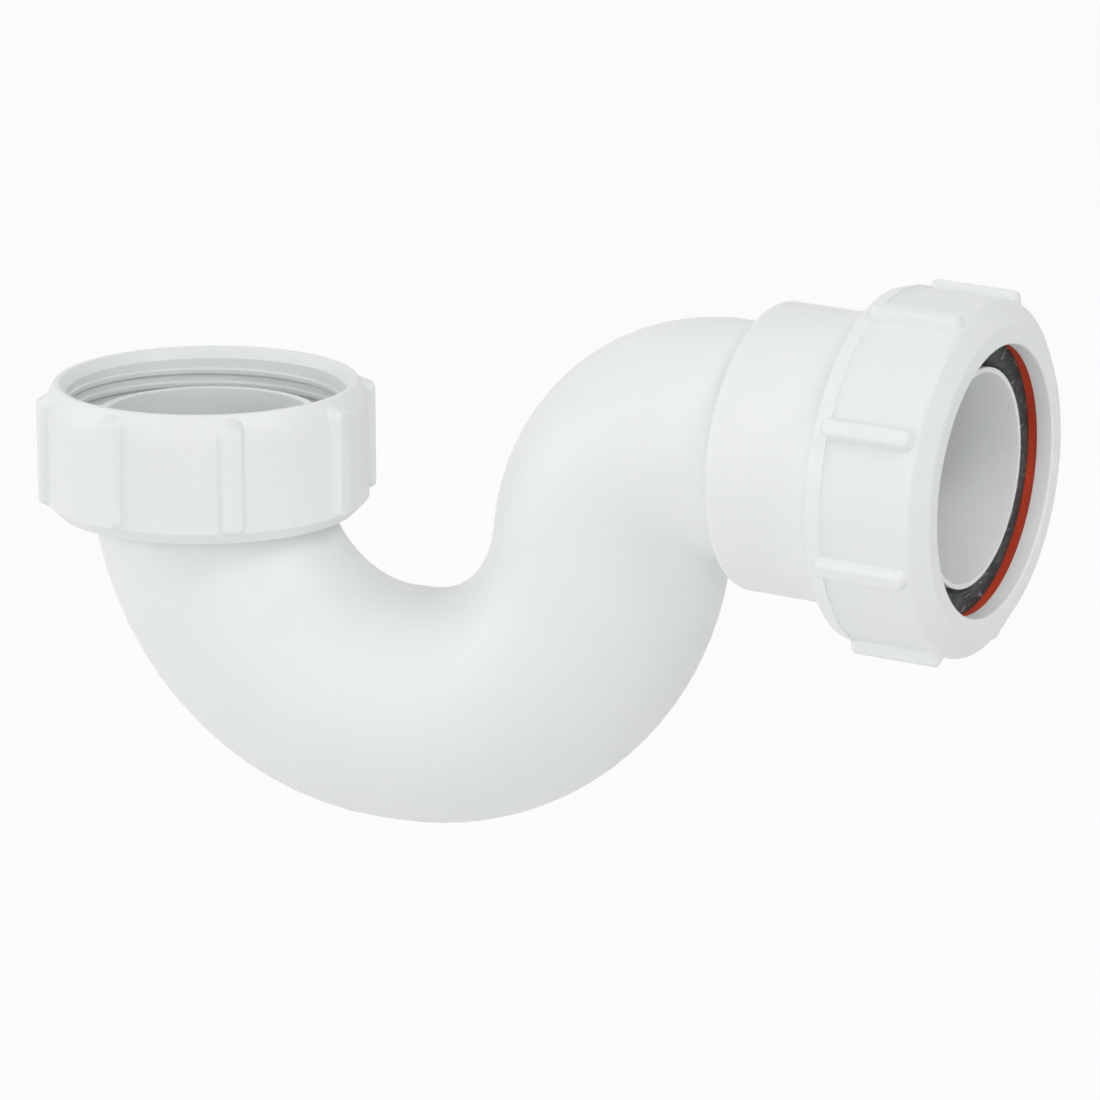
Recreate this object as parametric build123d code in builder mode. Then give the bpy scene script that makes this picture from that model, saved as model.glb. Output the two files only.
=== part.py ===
"""Tubular bath trap: a one-piece S-bend body, a swivel inlet union and a compression outlet.

Millimetres. The origin is the centre of the inlet seat, on the inlet axis, where the waste's tail
presses on the washer. +Z is up the inlet axis and +X points to the outlet.
"""

import os
from math import cos, radians, sin, sqrt

from build123d import *

os.makedirs("parts", exist_ok=True)

# Tube of the body
tube_od = 40.0
tube_wall = 2.5
lower_bend_inside = 17.2
lower_run = 3.6
leg_run = 1.5
upper_bend_inside = 0.75
riser_lean = 6.8
outlet_fall = 2.4
outlet_neck = 6.9
tube_end_round = 0.4

# Inlet union: tube end, washer, collar and the nut that turns on the collar
inlet_spigot = 8.0
inlet_spigot_relief = 1.0
washer_thickness = 3.0
washer_clearance = 0.5
collar_thickness = 2.5
collar_grip = 1.2
collar_gap = 0.57
nut_clearance = 0.5
nut_play = 0.3
inlet_nut_base = 3.0
inlet_nut_reach = 13.6
inlet_nut_wall = 3.8
inlet_nut_foot_chamfer = 2.2
inlet_nut_shoulder_height = 3.0
inlet_nut_shoulder_inset = 1.7
inlet_nut_shoulder_round = 6.0
inlet_lead_in_height = 1.8
inlet_lead_in_width = 1.2
inlet_lip_round = 0.35

# Outlet socket of the body, with the thin spigot that the waste pipe slides over
spigot_wall = 0.8
spigot_proud = 0.75
spigot_taper_start = 20.7
spigot_root_wall = 2.1
pipe_gap = 0.1
pipe_wall = 1.6
socket_gap = 1.8
socket_wall = 2.3
socket_length = 35.1
shoulder_wall = 2.5
shoulder_round = 1.4
flare_length = 6.0
flare_round = 15.0
flare_gap = 0.5
thread_land_rise = 1.0
mouth_rim = 1.2
mouth_cone_depth = 5.5

# Compression stack: rubber seal, slip ring and nut
seal_flange = 1.65
seal_lip = 1.7
seal_lead_in = 0.9
seal_plug_depth = 5.2
seal_clearance = 0.15
lip_clearance = 0.1
face_play = 0.05
ring_thickness = 1.65
ring_rim_gap = 0.3
ring_recess = 0.35
opening_gap = 2.6
thread_depth = 1.2
thread_gap = 0.3
outlet_nut_wall = 3.0
outlet_nut_flange = 2.9
outlet_nut_length = 20.5
outlet_nut_bevel_length = 2.35
outlet_nut_bevel_inset = 3.8
outlet_nut_bevel_round = 1.0
outlet_nut_opening_round = 0.4
outlet_nut_lip_width = 2.75
outlet_nut_lip_rise = 0.3
outlet_nut_lip_taper = 0.7

# Grip ribs of the two nuts
rib_count = 8
rib_corner = 1.0
rib_round = 0.6
rib_root = 1.6
inlet_rib_face = 3.0
inlet_rib_height = 1.4
inlet_rib_draft = 25.0
inlet_rib_top_gap = 1.9
inlet_rib_foot_gap = 2.6
inlet_rib_angle = 38.5
outlet_rib_face = 2.4
outlet_rib_height = 1.9
outlet_rib_draft = 20.0
outlet_rib_front_gap = 3.25
outlet_rib_back_gap = 2.2
outlet_rib_angle = 20.5

# Radii and levels that follow from the sizes above
tube_r = tube_od / 2
bore_r = tube_r - tube_wall
lower_bend_r = tube_r + lower_bend_inside
upper_bend_r = tube_r + upper_bend_inside
collar_top = -washer_thickness
collar_foot = collar_top - collar_thickness
nut_shelf = collar_foot - nut_play
inlet_nut_foot = nut_shelf - inlet_nut_base
tube_reach = lower_bend_r - sqrt(lower_bend_inside**2 - (inlet_nut_foot + leg_run) ** 2)
nut_hole_r = tube_reach + nut_clearance
collar_r = nut_hole_r + collar_grip
inlet_bore_r = collar_r + collar_gap
inlet_barrel_r = inlet_bore_r + inlet_nut_wall
spigot_r = bore_r + spigot_wall
pipe_r = spigot_r + pipe_gap + pipe_wall
socket_bore_r = pipe_r + socket_gap
socket_r = socket_bore_r + socket_wall
thread_root_r = socket_r + thread_land_rise
thread_crest_r = thread_root_r + thread_depth
mouth_r = thread_root_r - mouth_rim
outlet_bore_r = thread_crest_r + thread_gap
outlet_barrel_r = outlet_bore_r + outlet_nut_wall
ring_r = outlet_bore_r - thread_depth - ring_rim_gap
opening_r = pipe_r + opening_gap
ring_bore_r = opening_r + ring_recess

# Places along the outlet axis, from the socket's shoulder outwards
seal_face = socket_length + face_play + seal_flange
spigot_tip = seal_face + spigot_proud
ring_back = seal_face + face_play
ring_front = ring_back + ring_thickness
nut_shelf_out = ring_front + face_play
nut_face = nut_shelf_out + outlet_nut_flange
nut_back = nut_face - outlet_nut_length
flare_end = nut_back - flare_gap
flare_start = flare_end - flare_length

# Centreline: down the inlet leg, round the lower bend with its short flat run, up the riser,
# round the upper bend and out along the outlet
lean = radians(riser_lean)
fall = radians(outlet_fall)
first_centre = Vector(lower_bend_r, 0, -leg_run)
run_start = first_centre - Vector(0, 0, lower_bend_r)
second_centre = first_centre + Vector(lower_run, 0, 0)
riser_start = second_centre + Vector(cos(lean), 0, -sin(lean)) * lower_bend_r
riser_end = riser_start + Vector(sin(lean), 0, cos(lean)) * leg_run
upper_centre = riser_end + Vector(cos(lean), 0, -sin(lean)) * upper_bend_r
outlet_axis = Vector(cos(fall), 0, -sin(fall))
bend_end = upper_centre + Vector(sin(fall), 0, cos(fall)) * upper_bend_r
shoulder_centre = bend_end + outlet_axis * outlet_neck

# Working planes: sections of the tube along its centreline, and the outlet's profile and end planes
inlet_section = Plane.XY
first_section = Plane.XY.offset(-leg_run)
run_section = Plane(origin=run_start, x_dir=(0, 1, 0), z_dir=(1, 0, 0))
second_section = run_section.offset(lower_run)
riser_section = Plane(origin=riser_start, x_dir=(0, 1, 0), z_dir=(sin(lean), 0, cos(lean)))
upper_section = riser_section.offset(leg_run)
outlet_profile = Plane(origin=shoulder_centre, x_dir=outlet_axis, z_dir=(0, -1, 0))
outlet_frame = Plane(origin=shoulder_centre, x_dir=(0, 1, 0), z_dir=outlet_axis)
first_axis = Axis(first_centre, (0, -1, 0))
second_axis = Axis(second_centre, (0, -1, 0))
upper_axis = Axis(upper_centre, (0, 1, 0))
outlet_line = Axis(shoulder_centre, outlet_axis)
second_turn = 90 - riser_lean
upper_turn = 90 + outlet_fall - riser_lean


# One-piece body: tube bends, collar, socket and spigot, then one continuous bore
with BuildPart() as trap_body:
    with BuildSketch(first_section):
        Circle(tube_r)
    extrude(amount=leg_run)
    with BuildSketch(inlet_section):
        Circle(tube_r - inlet_spigot_relief)
    extrude(amount=inlet_spigot)
    with BuildSketch(first_section):
        Circle(tube_r)
    revolve(axis=first_axis, revolution_arc=90)
    with BuildSketch(run_section):
        Circle(tube_r)
    extrude(amount=lower_run)
    with BuildSketch(second_section):
        Circle(tube_r)
    revolve(axis=second_axis, revolution_arc=second_turn)
    with BuildSketch(riser_section):
        Circle(tube_r)
    extrude(amount=leg_run)
    with BuildSketch(upper_section):
        Circle(tube_r)
    revolve(axis=upper_axis, revolution_arc=upper_turn)
    with BuildSketch(inlet_section.offset(collar_foot)):
        Circle(collar_r)
    extrude(amount=collar_thickness)
    with BuildSketch(outlet_profile) as socket_section:
        with BuildLine():
            Polyline(
                (-outlet_neck, 0),
                (-outlet_neck, tube_r),
                (0, tube_r),
                (0, socket_r),
                (flare_start, socket_r),
                (flare_end, thread_crest_r),
                (flare_end, thread_root_r),
                (socket_length, thread_root_r),
                (socket_length, mouth_r),
                (socket_length - mouth_cone_depth, socket_bore_r),
                (shoulder_wall, socket_bore_r),
                (shoulder_wall, bore_r + spigot_root_wall),
                (spigot_taper_start, spigot_r),
                (spigot_tip, spigot_r),
                (spigot_tip, 0),
                close=True,
            )
        make_face()
        socket_edge = socket_section.vertices().sort_by_distance((0, socket_r))[0]
        fillet(socket_edge, shoulder_round)
        flare_edge = socket_section.vertices().sort_by_distance((flare_start, socket_r))[0]
        fillet(flare_edge, flare_round)
    revolve(axis=outlet_line)
    with BuildSketch(first_section):
        Circle(bore_r)
    extrude(amount=leg_run + inlet_spigot, mode=Mode.SUBTRACT)
    with BuildSketch(first_section):
        Circle(bore_r)
    revolve(axis=first_axis, revolution_arc=90, mode=Mode.SUBTRACT)
    with BuildSketch(run_section):
        Circle(bore_r)
    extrude(amount=lower_run, mode=Mode.SUBTRACT)
    with BuildSketch(second_section):
        Circle(bore_r)
    revolve(axis=second_axis, revolution_arc=second_turn, mode=Mode.SUBTRACT)
    with BuildSketch(riser_section):
        Circle(bore_r)
    extrude(amount=leg_run, mode=Mode.SUBTRACT)
    with BuildSketch(upper_section):
        Circle(bore_r)
    revolve(axis=upper_axis, revolution_arc=upper_turn, mode=Mode.SUBTRACT)
    with BuildSketch(outlet_frame.offset(-outlet_neck)):
        Circle(bore_r)
    extrude(amount=outlet_neck + spigot_tip, mode=Mode.SUBTRACT)
    inlet_rim = trap_body.faces().sort_by(Axis.Z)[-1]
    fillet(inlet_rim.edges(), tube_end_round)
trap_body.part.label = "trap_body"
export_step(trap_body.part, "parts/trap_body.step")


# Flat rubber washer on the collar, round the tube's end
with BuildPart() as inlet_washer:
    with BuildSketch(inlet_section.offset(collar_top)):
        Circle(collar_r)
        Circle(tube_r + washer_clearance, mode=Mode.SUBTRACT)
    extrude(amount=washer_thickness)
inlet_washer.part.label = "inlet_washer"
export_step(inlet_washer.part, "parts/inlet_washer.step")


# One drafted grip rib per nut, along Z at angle zero, drawn on its outer face and widening inwards
inlet_rib_foot = inlet_nut_foot + inlet_rib_foot_gap
inlet_rib_top = inlet_nut_reach - inlet_rib_top_gap
with BuildPart() as inlet_rib:
    with BuildSketch(Plane.YZ.offset(inlet_barrel_r + inlet_rib_height)):
        with Locations((0, (inlet_rib_foot + inlet_rib_top) / 2)):
            RectangleRounded(inlet_rib_face, inlet_rib_top - inlet_rib_foot, rib_corner)
    extrude(amount=-(rib_root + inlet_rib_height), taper=-inlet_rib_draft)
    fillet(inlet_rib.faces().sort_by(Axis.X)[-1].edges(), rib_round)

outlet_rib_back = nut_back + outlet_rib_back_gap
outlet_rib_front = nut_face - outlet_rib_front_gap
with BuildPart() as outlet_rib:
    with BuildSketch(Plane.YZ.offset(outlet_barrel_r + outlet_rib_height)):
        with Locations((0, (outlet_rib_back + outlet_rib_front) / 2)):
            RectangleRounded(outlet_rib_face, outlet_rib_front - outlet_rib_back, rib_corner)
    extrude(amount=-(rib_root + outlet_rib_height), taper=-outlet_rib_draft)
    fillet(outlet_rib.faces().sort_by(Axis.X)[-1].edges(), rib_round)


# Swivel union nut: its base hooks under the collar, and its bore takes the waste's thread
with BuildPart() as inlet_nut:
    with BuildSketch(Plane.XZ) as union_section:
        with BuildLine():
            Polyline(
                (nut_hole_r, inlet_nut_foot),
                (inlet_barrel_r - inlet_nut_foot_chamfer, inlet_nut_foot),
                (inlet_barrel_r, inlet_nut_foot + inlet_nut_foot_chamfer),
                (inlet_barrel_r, inlet_nut_reach - inlet_nut_shoulder_height),
                (inlet_barrel_r - inlet_nut_shoulder_inset, inlet_nut_reach),
                (inlet_bore_r + inlet_lead_in_width, inlet_nut_reach),
                (inlet_bore_r, inlet_nut_reach - inlet_lead_in_height),
                (inlet_bore_r, nut_shelf),
                (nut_hole_r, nut_shelf),
                close=True,
            )
        make_face()
        lip_edges = union_section.vertices().sort_by(Axis.Y)[-2:]
        fillet(lip_edges, inlet_lip_round)
        shoulder_place = (inlet_barrel_r, inlet_nut_reach - inlet_nut_shoulder_height)
        shoulder_edge = union_section.vertices().sort_by_distance(shoulder_place)[0]
        fillet(shoulder_edge, inlet_nut_shoulder_round)
    revolve(axis=Axis.Z)
    with PolarLocations(0, rib_count, start_angle=inlet_rib_angle):
        add(inlet_rib.part)
inlet_nut.part.label = "inlet_nut"
export_step(inlet_nut.part, "parts/inlet_nut.step")


# Rubber seal: a flange between ring and socket mouth, a plug in the mouth's cone and a lip on the spigot
cone_drop = (mouth_r - socket_bore_r) * seal_plug_depth / mouth_cone_depth
with BuildPart() as outlet_seal:
    with BuildSketch(outlet_profile):
        with BuildLine():
            Polyline(
                (seal_face, spigot_r + seal_lead_in),
                (seal_face, ring_r),
                (socket_length + face_play, ring_r),
                (socket_length + face_play, mouth_r - seal_clearance),
                (socket_length, mouth_r - seal_clearance),
                (socket_length - seal_plug_depth, mouth_r - cone_drop - seal_clearance),
                (socket_length - seal_plug_depth, pipe_r + lip_clearance),
                (socket_length, pipe_r + lip_clearance),
                (seal_face - seal_lip, spigot_r + lip_clearance),
                (seal_face - seal_lead_in, spigot_r + lip_clearance),
                close=True,
            )
        make_face()
    revolve(axis=outlet_line)
outlet_seal.part.label = "outlet_seal"
export_step(outlet_seal.part, "parts/outlet_seal.step")


# Thin slip ring between the seal and the nut's flange
with BuildPart() as slip_ring:
    with BuildSketch(outlet_frame.offset(ring_back)):
        Circle(ring_r)
        Circle(ring_bore_r, mode=Mode.SUBTRACT)
    extrude(amount=ring_thickness)
slip_ring.part.label = "slip_ring"
export_step(slip_ring.part, "parts/slip_ring.step")


# Compression nut: bevelled flange with the pipe opening, threaded barrel and a raised lip at its back
with BuildPart(outlet_frame) as outlet_nut:
    with BuildSketch(outlet_profile) as nut_section:
        with BuildLine():
            Polyline(
                (nut_back, outlet_bore_r),
                (nut_back, outlet_barrel_r + outlet_nut_lip_rise - outlet_nut_lip_taper),
                (nut_back + outlet_nut_lip_width, outlet_barrel_r + outlet_nut_lip_rise),
                (nut_back + outlet_nut_lip_width, outlet_barrel_r),
                (nut_face - outlet_nut_bevel_length, outlet_barrel_r),
                (nut_face, outlet_barrel_r - outlet_nut_bevel_inset),
                (nut_face, opening_r),
                (nut_shelf_out, opening_r),
                (nut_shelf_out, outlet_bore_r),
                close=True,
            )
        make_face()
        bevel_edges = nut_section.vertices().sort_by_distance((nut_face, outlet_barrel_r))[:2]
        fillet(bevel_edges, outlet_nut_bevel_round)
        opening_edge = nut_section.vertices().sort_by_distance((nut_face, opening_r))[0]
        fillet(opening_edge, outlet_nut_opening_round)
    revolve(axis=outlet_line)
    with PolarLocations(0, rib_count, start_angle=outlet_rib_angle):
        add(outlet_rib.part)
outlet_nut.part.label = "outlet_nut"
export_step(outlet_nut.part, "parts/outlet_nut.step")
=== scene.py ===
from math import cos, pi, radians, sin

import bmesh
import bpy
from mathutils import Matrix, Vector


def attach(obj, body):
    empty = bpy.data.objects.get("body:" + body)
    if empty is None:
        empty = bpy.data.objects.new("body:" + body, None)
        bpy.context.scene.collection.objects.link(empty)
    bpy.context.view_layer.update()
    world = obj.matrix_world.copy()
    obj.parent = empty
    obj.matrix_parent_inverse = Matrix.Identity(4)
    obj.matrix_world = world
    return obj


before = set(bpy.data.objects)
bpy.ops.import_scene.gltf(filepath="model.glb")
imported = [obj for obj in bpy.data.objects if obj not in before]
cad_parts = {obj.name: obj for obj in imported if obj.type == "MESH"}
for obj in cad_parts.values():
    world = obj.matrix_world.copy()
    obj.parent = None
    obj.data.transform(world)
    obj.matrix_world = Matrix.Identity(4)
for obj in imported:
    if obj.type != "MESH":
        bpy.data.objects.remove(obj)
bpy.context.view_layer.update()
scene = bpy.context.scene


# Trap body: one hollow S-bend with its inlet collar and outlet socket, injection moulded in
# white polypropylene. The skin is satin, with a fine even grain from the tool, faint clouding
# and a few small marks from handling. It hangs from the bath waste by its inlet.
def add_node(tree, kind, inputs=None, **settings):
    made = tree.nodes.new(kind)
    for name, value in settings.items():
        setattr(made, name, value)
    for name, value in (inputs or {}).items():
        if isinstance(value, bpy.types.NodeSocket):
            tree.links.new(value, made.inputs[name])
        else:
            made.inputs[name].default_value = value
    return made


def open_group(name, inputs, outputs):
    group = bpy.data.node_groups.new(name, "ShaderNodeTree")
    for label, kind in inputs:
        group.interface.new_socket(label, in_out="INPUT", socket_type=kind)
    for label, kind in outputs:
        group.interface.new_socket(label, in_out="OUTPUT", socket_type=kind)
    return group, add_node(group, "NodeGroupInput"), add_node(group, "NodeGroupOutput")


def close_group(group, group_out, colour, rough, height):
    for label, value in (("Colour", colour), ("Roughness", rough), ("Height", height)):
        group.links.new(value, group_out.inputs[label])


def mix_colour(tree, factor, first, second):
    made = add_node(tree, "ShaderNodeMix", {0: factor, 6: first, 7: second}, data_type="RGBA")
    return made.outputs[2]


def noise(tree, place, scale, detail, rough, distortion=0.0):
    made = add_node(
        tree,
        "ShaderNodeTexNoise",
        {
            "Vector": place,
            "Scale": scale,
            "Detail": detail,
            "Roughness": rough,
            "Distortion": distortion,
        },
    )
    return made.outputs["Fac"]


def remap(tree, value, low, high, to_low, to_high):
    made = add_node(
        tree,
        "ShaderNodeMapRange",
        {"Value": value, "From Min": low, "From Max": high, "To Min": to_low, "To Max": to_high},
    )
    return made.outputs["Result"]


def arithmetic(tree, operation, first, second):
    return add_node(tree, "ShaderNodeMath", {0: first, 1: second}, operation=operation).outputs[0]


skin_inputs = (
    ("Colour", "NodeSocketColor"),
    ("Cloud colour", "NodeSocketColor"),
    ("Mark colour", "NodeSocketColor"),
    ("Cloud scale", "NodeSocketFloat"),
    ("Grain scale", "NodeSocketFloat"),
    ("Marks", "NodeSocketFloat"),
    ("Satin", "NodeSocketFloat"),
)
skin_outputs = (
    ("Colour", "NodeSocketColor"),
    ("Roughness", "NodeSocketFloat"),
    ("Height", "NodeSocketFloat"),
)
moulded_skin, skin_in, skin_out = open_group("moulded_skin", skin_inputs, skin_outputs)
skin_place = add_node(moulded_skin, "ShaderNodeTexCoord").outputs["Object"]
skin_cloud = noise(moulded_skin, skin_place, skin_in.outputs["Cloud scale"], 3.0, 0.45)
skin_grain = noise(moulded_skin, skin_place, skin_in.outputs["Grain scale"], 2.0, 0.6)
skin_ripple = noise(moulded_skin, skin_place, 130.0, 1.0, 0.4)
skin_stroke = add_node(
    moulded_skin,
    "ShaderNodeMapping",
    {"Vector": skin_place, "Rotation": (0.4, 0.9, 0.3), "Scale": (1.0, 0.16, 0.7)},
).outputs["Vector"]
skin_speck = noise(moulded_skin, skin_stroke, 900.0, 1.0, 0.5)
skin_patch = noise(moulded_skin, skin_place, 60.0, 2.0, 0.5)
skin_marks = arithmetic(
    moulded_skin,
    "MULTIPLY",
    remap(moulded_skin, skin_speck, 0.67, 0.75, 0.0, 1.0),
    remap(moulded_skin, skin_patch, 0.52, 0.66, 0.0, 1.0),
)
skin_marks = arithmetic(moulded_skin, "MULTIPLY", skin_marks, skin_in.outputs["Marks"])
skin_colour = mix_colour(
    moulded_skin,
    remap(moulded_skin, skin_cloud, 0.35, 0.65, 0.0, 1.0),
    skin_in.outputs["Colour"],
    skin_in.outputs["Cloud colour"],
)
skin_colour = mix_colour(moulded_skin, skin_marks, skin_colour, skin_in.outputs["Mark colour"])
grain_rough = remap(moulded_skin, skin_grain, 0.3, 0.7, -0.05, 0.05)
mark_rough = arithmetic(moulded_skin, "MULTIPLY", skin_marks, 0.2)
skin_rough = arithmetic(moulded_skin, "ADD", skin_in.outputs["Satin"], grain_rough)
skin_rough = arithmetic(moulded_skin, "ADD", skin_rough, mark_rough)
grain_height = arithmetic(moulded_skin, "MULTIPLY", skin_grain, 0.25)
skin_height = arithmetic(moulded_skin, "ADD", grain_height, skin_ripple)
close_group(moulded_skin, skin_out, skin_colour, skin_rough, skin_height)


def surface_material(name, group, values, relief, specular, glow_through=0.0):
    relief_depth, glow_reach = 0.0002, 0.0015
    made = bpy.data.materials.new(name)
    made.use_nodes = True
    tree = made.node_tree
    shader = tree.nodes["Principled BSDF"]
    skin = add_node(tree, "ShaderNodeGroup", node_tree=group)
    for label, value in values.items():
        skin.inputs[label].default_value = value
    bump = add_node(
        tree,
        "ShaderNodeBump",
        {"Height": skin.outputs["Height"], "Strength": relief, "Distance": relief_depth},
    )
    tree.links.new(skin.outputs["Colour"], shader.inputs["Base Color"])
    tree.links.new(skin.outputs["Roughness"], shader.inputs["Roughness"])
    tree.links.new(bump.outputs["Normal"], shader.inputs["Normal"])
    shader.inputs["Specular IOR Level"].default_value = specular
    shader.inputs["Subsurface Weight"].default_value = glow_through
    shader.inputs["Subsurface Radius"].default_value = (1.0, 1.0, 1.0)
    shader.inputs["Subsurface Scale"].default_value = glow_reach
    return made


def finish_node(name, material):
    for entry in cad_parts[name].material_slots:
        entry.material = material


plain_white = (0.865, 0.89, 0.88, 1.0)
body_white = surface_material(
    "trap_body_white",
    moulded_skin,
    {
        "Colour": plain_white,
        "Cloud colour": (0.885, 0.9, 0.895, 1.0),
        "Mark colour": (0.6, 0.63, 0.62, 1.0),
        "Cloud scale": 26.0,
        "Grain scale": 3200.0,
        "Marks": 0.08,
        "Satin": 0.42,
    },
    relief=0.12,
    specular=0.4,
    glow_through=0.3,
)
finish_node("trap_body", body_white)


# Socket thread: a coarse right-handed ridge moulded in one with the socket, hidden under the
# compression nut until the nut is unscrewed. Its ends run out to nothing over half a turn.
def placed(columns, origin):
    made = Matrix.Identity(4)
    for column, direction in enumerate(columns):
        for line in range(3):
            made[line][column] = direction[line]
    made.translation = origin
    return made


outlet_fall = radians(2.4)
outlet_axis = Vector((cos(outlet_fall), 0.0, -sin(outlet_fall)))
outlet_side = Vector((0.0, 1.0, 0.0))
shoulder = Vector((0.106282, 0.0, 0.01357))
outlet_place = placed((outlet_side, outlet_axis.cross(outlet_side), outlet_axis), shoulder)

thread_ridge = bpy.data.node_groups.new("thread_ridge", "GeometryNodeTree")
thread_ridge.is_modifier = True
thread_inputs = {}
for label, kind in (
    ("Wall radius", "NodeSocketFloat"),
    ("Start", "NodeSocketFloat"),
    ("Pitch", "NodeSocketFloat"),
    ("Turns", "NodeSocketFloat"),
    ("Ridge height", "NodeSocketFloat"),
    ("Ridge foot", "NodeSocketFloat"),
    ("Ridge crest", "NodeSocketFloat"),
    ("Ridge round", "NodeSocketFloat"),
    ("Run out", "NodeSocketFloat"),
    ("Side", "NodeSocketFloat"),
    ("Steps a turn", "NodeSocketFloat"),
    ("Material", "NodeSocketMaterial"),
):
    thread_inputs[label] = thread_ridge.interface.new_socket(
        label, in_out="INPUT", socket_type=kind
    ).identifier
thread_ridge.interface.new_socket("Geometry", in_out="OUTPUT", socket_type="NodeSocketGeometry")
thread_in = add_node(thread_ridge, "NodeGroupInput").outputs
thread_line = add_node(thread_ridge, "GeometryNodeCurvePrimitiveLine")
thread_count = arithmetic(thread_ridge, "MULTIPLY", thread_in["Turns"], thread_in["Steps a turn"])
thread_fine = add_node(
    thread_ridge,
    "GeometryNodeResampleCurve",
    {"Curve": thread_line.outputs["Curve"], "Count": thread_count},
    mode="COUNT",
)
along = add_node(thread_ridge, "GeometryNodeSplineParameter").outputs["Factor"]
turned = arithmetic(thread_ridge, "MULTIPLY", along, thread_in["Turns"])
angle = arithmetic(thread_ridge, "MULTIPLY", turned, 2 * pi)
climb = arithmetic(thread_ridge, "MULTIPLY", turned, thread_in["Pitch"])
across = arithmetic(thread_ridge, "COSINE", angle, 0.0)
aside = arithmetic(thread_ridge, "SINE", angle, 0.0)
thread_point = add_node(
    thread_ridge,
    "ShaderNodeCombineXYZ",
    {
        "X": arithmetic(thread_ridge, "MULTIPLY", across, thread_in["Wall radius"]),
        "Y": arithmetic(thread_ridge, "MULTIPLY", aside, thread_in["Wall radius"]),
        "Z": arithmetic(thread_ridge, "ADD", climb, thread_in["Start"]),
    },
)
thread_helix = add_node(
    thread_ridge,
    "GeometryNodeSetPosition",
    {"Geometry": thread_fine.outputs["Curve"], "Position": thread_point.outputs["Vector"]},
)
thread_upright = add_node(
    thread_ridge,
    "GeometryNodeSetCurveNormal",
    {"Curve": thread_helix.outputs["Geometry"]},
    mode="Z_UP",
)
left_over = arithmetic(thread_ridge, "SUBTRACT", thread_in["Turns"], turned)
nearest_end = arithmetic(thread_ridge, "MINIMUM", turned, left_over)
least_scale = 0.02
run_out = remap(thread_ridge, nearest_end, 0.0, thread_in["Run out"], least_scale, 1.0)
thread_section = add_node(
    thread_ridge,
    "GeometryNodeCurvePrimitiveQuadrilateral",
    {
        "Bottom Width": thread_in["Ridge foot"],
        "Top Width": thread_in["Ridge crest"],
        "Height": thread_in["Ridge height"],
        "Offset": 0.0,
    },
    mode="TRAPEZOID",
)
thread_soft = add_node(
    thread_ridge,
    "GeometryNodeFilletCurve",
    {"Curve": thread_section.outputs["Curve"], "Count": 3, "Radius": thread_in["Ridge round"]},
    mode="POLY",
)
sunk_share = 0.42
ridge_middle = arithmetic(thread_ridge, "MULTIPLY", thread_in["Ridge height"], sunk_share)
section_shift = add_node(
    thread_ridge,
    "ShaderNodeCombineXYZ",
    {"X": arithmetic(thread_ridge, "MULTIPLY", ridge_middle, thread_in["Side"])},
)
section_turn = add_node(
    thread_ridge,
    "ShaderNodeCombineXYZ",
    {"Z": arithmetic(thread_ridge, "MULTIPLY", thread_in["Side"], -pi / 2)},
)
thread_profile = add_node(
    thread_ridge,
    "GeometryNodeTransform",
    {
        "Geometry": thread_soft.outputs["Curve"],
        "Translation": section_shift.outputs["Vector"],
        "Rotation": section_turn.outputs["Vector"],
    },
)
thread_tube = add_node(
    thread_ridge,
    "GeometryNodeCurveToMesh",
    {
        "Curve": thread_upright.outputs["Curve"],
        "Profile Curve": thread_profile.outputs["Geometry"],
        "Scale": run_out,
        "Fill Caps": True,
    },
)
thread_whole = add_node(
    thread_ridge, "GeometryNodeRealizeInstances", {"Geometry": thread_tube.outputs["Mesh"]}
)
thread_dressed = add_node(
    thread_ridge,
    "GeometryNodeSetMaterial",
    {"Geometry": thread_whole.outputs["Geometry"], "Material": thread_in["Material"]},
)
add_node(thread_ridge, "NodeGroupOutput", {"Geometry": thread_dressed.outputs["Geometry"]})


def cut_thread(name, sizes, material, place, body):
    carrier = bpy.data.objects.new(name + "_carrier", bpy.data.meshes.new(name + "_carrier"))
    scene.collection.objects.link(carrier)
    maker = carrier.modifiers.new("thread", "NODES")
    maker.node_group = thread_ridge
    for label, value in sizes.items():
        maker[thread_inputs[label]] = value
    maker[thread_inputs["Material"]] = material
    evaluated = carrier.evaluated_get(bpy.context.evaluated_depsgraph_get())
    mesh = bpy.data.meshes.new_from_object(evaluated)
    mesh.name = name
    bpy.data.objects.remove(carrier)
    mesh.transform(place)
    shell = bmesh.new()
    shell.from_mesh(mesh)
    bmesh.ops.recalc_face_normals(shell, faces=shell.faces)
    for face in shell.faces:
        face.smooth = True
    shell.to_mesh(mesh)
    shell.free()
    ridge = bpy.data.objects.new(name, mesh)
    scene.collection.objects.link(ridge)
    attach(ridge, body)


steps_a_turn = 72.0
outward, inward = 1.0, -1.0
outlet_ridge = {
    "Pitch": 0.003,
    "Ridge height": 0.0013,
    "Ridge foot": 0.0015,
    "Ridge crest": 0.0006,
    "Ridge round": 0.0002,
    "Run out": 0.5,
    "Steps a turn": steps_a_turn,
}
cut_thread(
    "socket_thread",
    outlet_ridge | {"Wall radius": 0.0251, "Start": 0.0206, "Turns": 4.4, "Side": outward},
    body_white,
    outlet_place,
    "trap",
)


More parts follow.
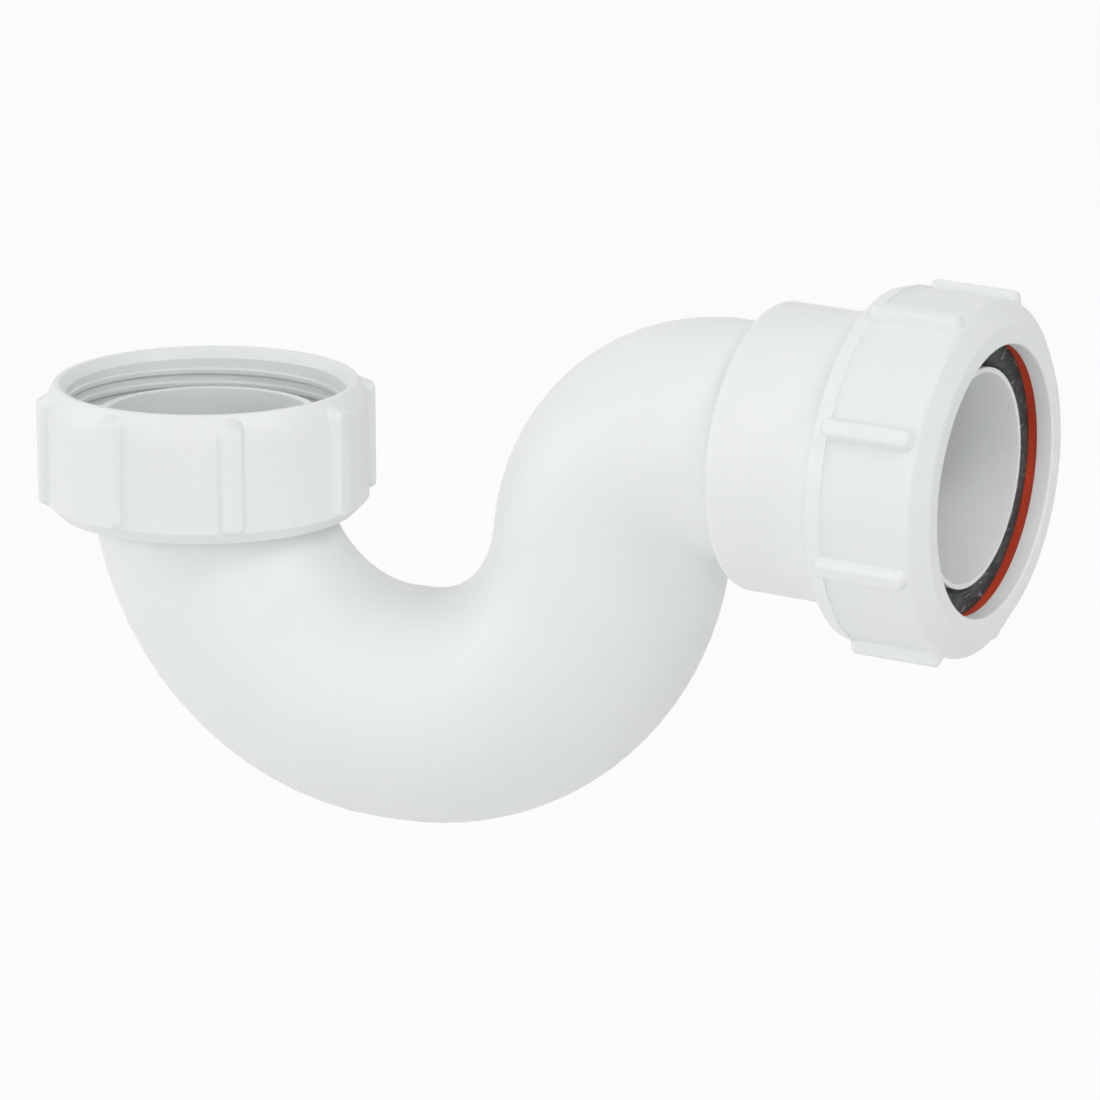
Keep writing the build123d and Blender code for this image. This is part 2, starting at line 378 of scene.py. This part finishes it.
# Inlet washer: a flat ring punched from black rubber sheet. It lies on the body's collar round
# the tube end, and the waste's tail presses on it when the union nut is tightened.
rubber_inputs = (
    ("Colour", "NodeSocketColor"),
    ("Bloom colour", "NodeSocketColor"),
    ("Bloom", "NodeSocketFloat"),
    ("Scrape", "NodeSocketFloat"),
    ("Dullness", "NodeSocketFloat"),
)
rubber_skin, rubber_in, rubber_out = open_group("rubber_skin", rubber_inputs, skin_outputs)
rubber_place = add_node(rubber_skin, "ShaderNodeTexCoord").outputs["Object"]
rubber_cloud = noise(rubber_skin, rubber_place, 240.0, 4.0, 0.65)
rubber_stroke = add_node(
    rubber_skin,
    "ShaderNodeMapping",
    {"Vector": rubber_place, "Rotation": (0.7, 0.0, 0.0), "Scale": (0.6, 0.3, 1.0)},
).outputs["Vector"]
rubber_line = noise(rubber_skin, rubber_stroke, 1100.0, 3.0, 0.7, distortion=0.6)
rubber_pore = noise(rubber_skin, rubber_place, 2600.0, 2.0, 0.5)
rubber_bloom = arithmetic(
    rubber_skin,
    "MULTIPLY",
    remap(rubber_skin, rubber_cloud, 0.45, 0.75, 0.0, 1.0),
    rubber_in.outputs["Bloom"],
)
rubber_scrape = arithmetic(
    rubber_skin,
    "MULTIPLY",
    remap(rubber_skin, rubber_line, 0.58, 0.7, 0.0, 1.0),
    rubber_in.outputs["Scrape"],
)
rubber_pale = arithmetic(rubber_skin, "MAXIMUM", rubber_bloom, rubber_scrape)
rubber_colour = mix_colour(
    rubber_skin, rubber_pale, rubber_in.outputs["Colour"], rubber_in.outputs["Bloom colour"]
)
rubber_rough = arithmetic(
    rubber_skin,
    "ADD",
    rubber_in.outputs["Dullness"],
    remap(rubber_skin, rubber_pore, 0.3, 0.7, -0.06, 0.06),
)
scrape_height = arithmetic(rubber_skin, "MULTIPLY", rubber_line, 1.4)
rubber_height = arithmetic(rubber_skin, "ADD", rubber_pore, scrape_height)
close_group(rubber_skin, rubber_out, rubber_colour, rubber_rough, rubber_height)
washer_rubber = surface_material(
    "washer_rubber",
    rubber_skin,
    {
        "Colour": (0.02, 0.021, 0.022, 1.0),
        "Bloom colour": (0.07, 0.073, 0.074, 1.0),
        "Bloom": 0.5,
        "Scrape": 0.25,
        "Dullness": 0.72,
    },
    relief=0.3,
    specular=0.3,
)
finish_node("inlet_washer", washer_rubber)


# Union nut of the inlet: moulded in the same white plastic, with grip ribs and a rounded lip.
# It hooks under the body's collar and turns on it, and its pipe thread draws the waste's tail
# down on the washer.
nut_white = surface_material(
    "nut_white",
    moulded_skin,
    {
        "Colour": plain_white,
        "Cloud colour": (0.88, 0.895, 0.89, 1.0),
        "Mark colour": (0.58, 0.61, 0.6, 1.0),
        "Cloud scale": 38.0,
        "Grain scale": 2600.0,
        "Marks": 0.1,
        "Satin": 0.4,
    },
    relief=0.14,
    specular=0.4,
    glow_through=0.3,
)
finish_node("inlet_nut", nut_white)
cut_thread(
    "inlet_nut_thread",
    {
        "Wall radius": 0.0239,
        "Start": 0.0019,
        "Pitch": 0.002309,
        "Turns": 4.1,
        "Ridge height": 0.0005,
        "Ridge foot": 0.0021,
        "Ridge crest": 0.0007,
        "Ridge round": 0.0002,
        "Run out": 0.2,
        "Side": inward,
        "Steps a turn": steps_a_turn,
    },
    nut_white,
    Matrix.Identity(4),
    "union",
)


# Outlet seal: a moulded black rubber ring. Its plug fills the mouth of the socket, its flange
# is squeezed by the nut, and its lip closes on the spigot. Dust and pale scrapes cling to its
# open face.
seal_rubber = surface_material(
    "seal_rubber",
    rubber_skin,
    {
        "Colour": (0.048, 0.057, 0.06, 1.0),
        "Bloom colour": (0.3, 0.33, 0.33, 1.0),
        "Bloom": 0.3,
        "Scrape": 0.9,
        "Dullness": 0.7,
    },
    relief=0.5,
    specular=0.3,
)
finish_node("outlet_seal", seal_rubber)


# Slip ring: a thin ring of hard red plastic between the rubber and the nut, so that the nut
# doesn't drag and twist the seal as it is tightened. It lies loose and leaves with the nut.
ring_red = surface_material(
    "slip_ring_red",
    moulded_skin,
    {
        "Colour": (0.68, 0.072, 0.026, 1.0),
        "Cloud colour": (0.56, 0.052, 0.02, 1.0),
        "Mark colour": (0.55, 0.16, 0.12, 1.0),
        "Cloud scale": 90.0,
        "Grain scale": 3200.0,
        "Marks": 0.5,
        "Satin": 0.4,
    },
    relief=0.12,
    specular=0.4,
)
finish_node("slip_ring", ring_red)


# Compression nut of the outlet: moulded in white plastic, with grip ribs, a bevelled mouth and a
# lip at its back. Its thread matches the socket's, half a pitch away from it all round.
finish_node("outlet_nut", nut_white)
cut_thread(
    "outlet_nut_thread",
    outlet_ridge | {"Wall radius": 0.0266, "Start": 0.0221, "Turns": 4.2, "Side": inward},
    nut_white,
    outlet_place,
    "compression",
)


# Studio: a wide pale floor well below the hanging trap, a white surround that is dimmer at the
# back right, soft lights from the left, the front and the upper right, and the camera where
# the photo's was.
floor_level = -0.17
floor_half = 4.0
floor_corners = ((-1, -1), (1, -1), (1, 1), (-1, 1))
floor_mesh = bpy.data.meshes.new("studio_floor")
floor_mesh.from_pydata(
    [(x * floor_half, y * floor_half, floor_level) for x, y in floor_corners],
    [],
    [(0, 1, 2, 3)],
)
floor = bpy.data.objects.new("studio_floor", floor_mesh)
scene.collection.objects.link(floor)


def seen_plainly(tree):
    rays = add_node(tree, "ShaderNodeLightPath").outputs
    shown = arithmetic(tree, "MAXIMUM", rays["Is Camera Ray"], rays["Is Glossy Ray"])
    return arithmetic(tree, "MAXIMUM", shown, rays["Is Transmission Ray"])


floor_paint = bpy.data.materials.new("studio_floor_white")
floor_paint.use_nodes = True
floor_tree = floor_paint.node_tree
floor_tree.nodes.clear()
floor_pale = (0.93, 0.93, 0.93, 1.0)
full_white = (1.0, 1.0, 1.0, 1.0)
white_share = 0.9
floor_lit = add_node(floor_tree, "ShaderNodeBsdfDiffuse", {"Color": floor_pale})
floor_bright = add_node(
    floor_tree, "ShaderNodeEmission", {"Color": full_white, "Strength": 1.0}
)
floor_mix = add_node(
    floor_tree,
    "ShaderNodeMixShader",
    {
        0: arithmetic(floor_tree, "MULTIPLY", seen_plainly(floor_tree), white_share),
        1: floor_lit.outputs["BSDF"],
        2: floor_bright.outputs["Emission"],
    },
)
add_node(floor_tree, "ShaderNodeOutputMaterial", {"Surface": floor_mix.outputs["Shader"]})
floor_mesh.materials.append(floor_paint)

surround = bpy.data.worlds.new("studio_surround")
surround.use_nodes = True
scene.world = surround
sky = surround.node_tree
sky.nodes.clear()
sky_way = add_node(sky, "ShaderNodeTexCoord").outputs["Generated"]
dim_way = (0.8, 0.6, 0.0)
sky_side = add_node(
    sky, "ShaderNodeVectorMath", {0: sky_way, 1: dim_way}, operation="DOT_PRODUCT"
)
sky_full, sky_dim = 0.7, 0.16
sky_strength = remap(sky, sky_side.outputs["Value"], 0.0, 1.0, sky_full, sky_dim)
sky_light = add_node(
    sky, "ShaderNodeBackground", {"Color": (0.985, 0.995, 1.0, 1.0), "Strength": sky_strength}
)
sky_white = add_node(sky, "ShaderNodeBackground", {"Color": full_white, "Strength": 1.0})
sky_mix = add_node(
    sky,
    "ShaderNodeMixShader",
    {
        0: seen_plainly(sky),
        1: sky_light.outputs["Background"],
        2: sky_white.outputs["Background"],
    },
)
add_node(sky, "ShaderNodeOutputWorld", {"Surface": sky_mix.outputs["Shader"]})

light_target = Vector((0.06, 0.0, -0.01))
for label, spot, width, power in (
    ("left_light", Vector((-1.8, -0.9, 0.1)), 1.4, 11.0),
    ("front_light", Vector((1.05, -1.89, 0.55)), 1.0, 5.5),
    ("right_light", Vector((1.4, -0.35, 1.5)), 0.8, 9.0),
):
    lamp = bpy.data.lights.new(label, "AREA")
    lamp.size = width
    lamp.energy = power
    lamp_object = bpy.data.objects.new(label, lamp)
    lamp_object.location = spot
    lamp_object.rotation_mode = "QUATERNION"
    lamp_object.rotation_quaternion = (light_target - spot).to_track_quat("-Z", "Y")
    scene.collection.objects.link(lamp_object)

view_azimuth, view_elevation, view_roll = radians(27.43), radians(14.57), radians(-0.37)
toward_viewer = Vector(
    (
        cos(view_elevation) * sin(view_azimuth),
        -cos(view_elevation) * cos(view_azimuth),
        sin(view_elevation),
    )
)
level_right = Vector((cos(view_azimuth), sin(view_azimuth), 0.0))
level_up = toward_viewer.cross(level_right)
camera_right = level_right * cos(view_roll) + level_up * sin(view_roll)
camera_up = level_up * cos(view_roll) - level_right * sin(view_roll)
camera_eye = Vector((0.6639, -1.1521, 0.3285))
photo_side, focal_pixels = 1100.0, 8000.0
camera = bpy.data.objects.new("camera", bpy.data.cameras.new("camera"))
camera.data.sensor_width = 36.0
camera.data.lens = focal_pixels / photo_side * camera.data.sensor_width
camera.data.clip_end = 20.0
camera.matrix_world = placed((camera_right, camera_up, toward_viewer), camera_eye)
scene.collection.objects.link(camera)
scene.camera = camera
scene.view_settings.view_transform = "Standard"
